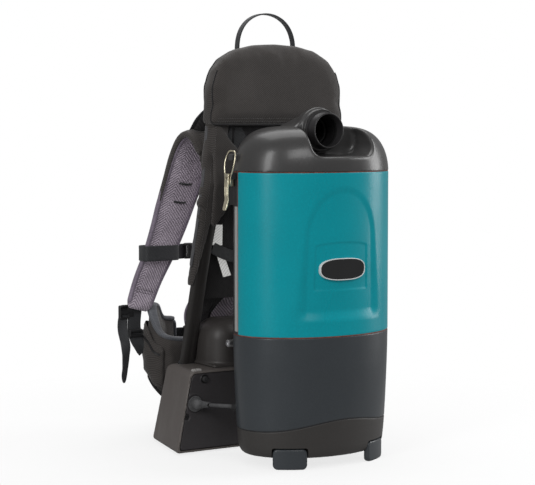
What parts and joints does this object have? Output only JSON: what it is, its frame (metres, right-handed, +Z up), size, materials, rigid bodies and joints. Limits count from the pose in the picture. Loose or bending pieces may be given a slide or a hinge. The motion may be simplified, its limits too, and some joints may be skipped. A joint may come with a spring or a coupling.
{
  "type": "backpack vacuum cleaner",
  "caption": "Backpack vacuum cleaner: oval canister with a latched lid and hose port, on a padded harness with stays, shoulder straps, hip belt and a rear power box.",
  "frame": {"origin": "centre of the bounding box's bottom face, on the floor the unit stands on", "axes": "+Z up along the canister, -Y towards the hose port and badge, +Y towards the wearer's back, +X to the right as seen from the canister side"},
  "size_m": [0.351, 0.4524, 0.6947],
  "materials": {
    "teal_shell": "glossy teal moulded plastic",
    "cap_plastic": "semi-gloss charcoal moulded plastic",
    "slate_plastic": "satin slate-grey moulded plastic",
    "base_plastic": "fine-grained charcoal plastic",
    "dark_plastic": "near-black satin plastic",
    "box_plastic": "fine-grained warm grey plastic",
    "rail_plastic": "light grey satin plastic",
    "badge": "blank dark plate with a light rim",
    "buckle_plastic": "black acetal",
    "zinc_plate": "yellow zinc-plated steel",
    "steel": "bare machined steel",
    "aluminium": "pressed aluminium sheet",
    "copper": "varnished copper winding on a steel shaft",
    "black_rubber": "black moulded rubber",
    "seal_rubber": "red-brown sealing rubber",
    "filter_media": "off-white filter paper and foam",
    "pack_fabric": "charcoal twill pack cloth",
    "strap_mesh": "purple-grey ribbed spacer mesh over foam",
    "light_mesh": "light grey open mesh",
    "webbing": "black woven nylon webbing"
  },
  "bodies": {
    "main_body": {"front_shell": "teal_shell", "rear_shell": "dark_plastic", "side_rail_left": "rail_plastic", "side_rail_right": "rail_plastic", "badge": "badge", "body_seal": "seal_rubber", "motor_housing": "slate_plastic", "base_cover": "base_plastic", "front_foot_left": "slate_plastic", "front_foot_right": "slate_plastic", "filter_bag": "filter_media", "motor_filter": "filter_media", "exhaust_filter": "filter_media", "fan_housing": "aluminium", "motor_stator": "steel", "motor_bearing_upper": "steel", "motor_bearing_lower": "steel", "motor_mount": "black_rubber", "latch_base_left": "zinc_plate", "latch_base_right": "zinc_plate", "power_box_housing": "box_plastic", "box_front_cover": "dark_plastic", "battery_pack": "dark_plastic", "cover_clip": "rail_plastic", "cable_boot": "black_rubber", "cable_grommet": "black_rubber", "link_cable": "black_rubber", "rear_dome": "dark_plastic", "canister_bracket": "dark_plastic", "clamp_bolt_left": "steel", "clamp_bolt_right": "steel", "stay_left": "dark_plastic", "stay_right": "dark_plastic", "back_sleeve": "pack_fabric", "mesh_panel": "light_mesh", "back_pad": "strap_mesh", "head_pad": "pack_fabric", "carry_loop": "webbing", "shoulder_strap_left": "strap_mesh", "shoulder_strap_right": "strap_mesh", "load_lifter_left": "webbing", "load_lifter_right": "webbing", "sternum_strap_left": "webbing", "sternum_strap_right": "webbing", "sternum_buckle": "buckle_plastic", "strap_tail_left": "webbing", "strap_tail_right": "webbing", "hip_belt": "pack_fabric", "belt_closure": "buckle_plastic"},
    "lid": {"cap_shell": "cap_plastic", "lid_seal": "seal_rubber", "inlet_port": "dark_plastic", "inlet_elbow": "dark_plastic"},
    "latch_lever_left": {"latch_lever_left": "zinc_plate"},
    "latch_bail_left": {"latch_bail_left": "zinc_plate"},
    "latch_lever_right": {"latch_lever_right": "zinc_plate"},
    "latch_bail_right": {"latch_bail_right": "zinc_plate"},
    "fan_rotor": {"motor_rotor": "copper", "fan_impeller": "aluminium"},
    "power_button": {"power_button": "black_rubber"}
  },
  "joints": [
    {"name": "lid_lift", "type": "slide", "parent": "main_body", "child": "lid", "axis": [0, 0, 1], "range_m": [0, 0.06]},
    {"name": "lever_left_swing", "type": "hinge", "parent": "main_body", "child": "latch_lever_left", "pos_m": [-0.134, -0.11375, 0.44], "axis": [0, 1, 0], "range_deg": [0, 76]},
    {"name": "bail_left_swing", "type": "hinge", "parent": "latch_lever_left", "child": "latch_bail_left", "pos_m": [-0.1375, -0.11375, 0.428], "axis": [0, 1, 0], "range_deg": [-146, 0]},
    {"name": "lever_right_swing", "type": "hinge", "parent": "main_body", "child": "latch_lever_right", "pos_m": [0.134, -0.11375, 0.44], "axis": [0, -1, 0], "range_deg": [0, 76]},
    {"name": "bail_right_swing", "type": "hinge", "parent": "latch_lever_right", "child": "latch_bail_right", "pos_m": [0.1375, -0.11375, 0.428], "axis": [0, -1, 0], "range_deg": [-146, 0]},
    {"name": "motor_spin", "type": "hinge", "parent": "main_body", "child": "fan_rotor", "pos_m": [0, -0.13375, 0.13], "axis": [0, 0, 1], "continuous": true},
    {"name": "power_button_press", "type": "slide", "parent": "main_body", "child": "power_button", "axis": [0, 1, 0], "range_m": [0, 0.0025], "stiffness_N_per_m": 300}
  ],
  "couplings": [
    {"joint": "lever_left_swing", "follows": "lid_lift", "rad_per_m": 21.8},
    {"joint": "bail_left_swing", "follows": "lid_lift", "rad_per_m": -42.1},
    {"joint": "lever_right_swing", "follows": "lid_lift", "rad_per_m": 21.8},
    {"joint": "bail_right_swing", "follows": "lid_lift", "rad_per_m": -42.1}
  ]
}
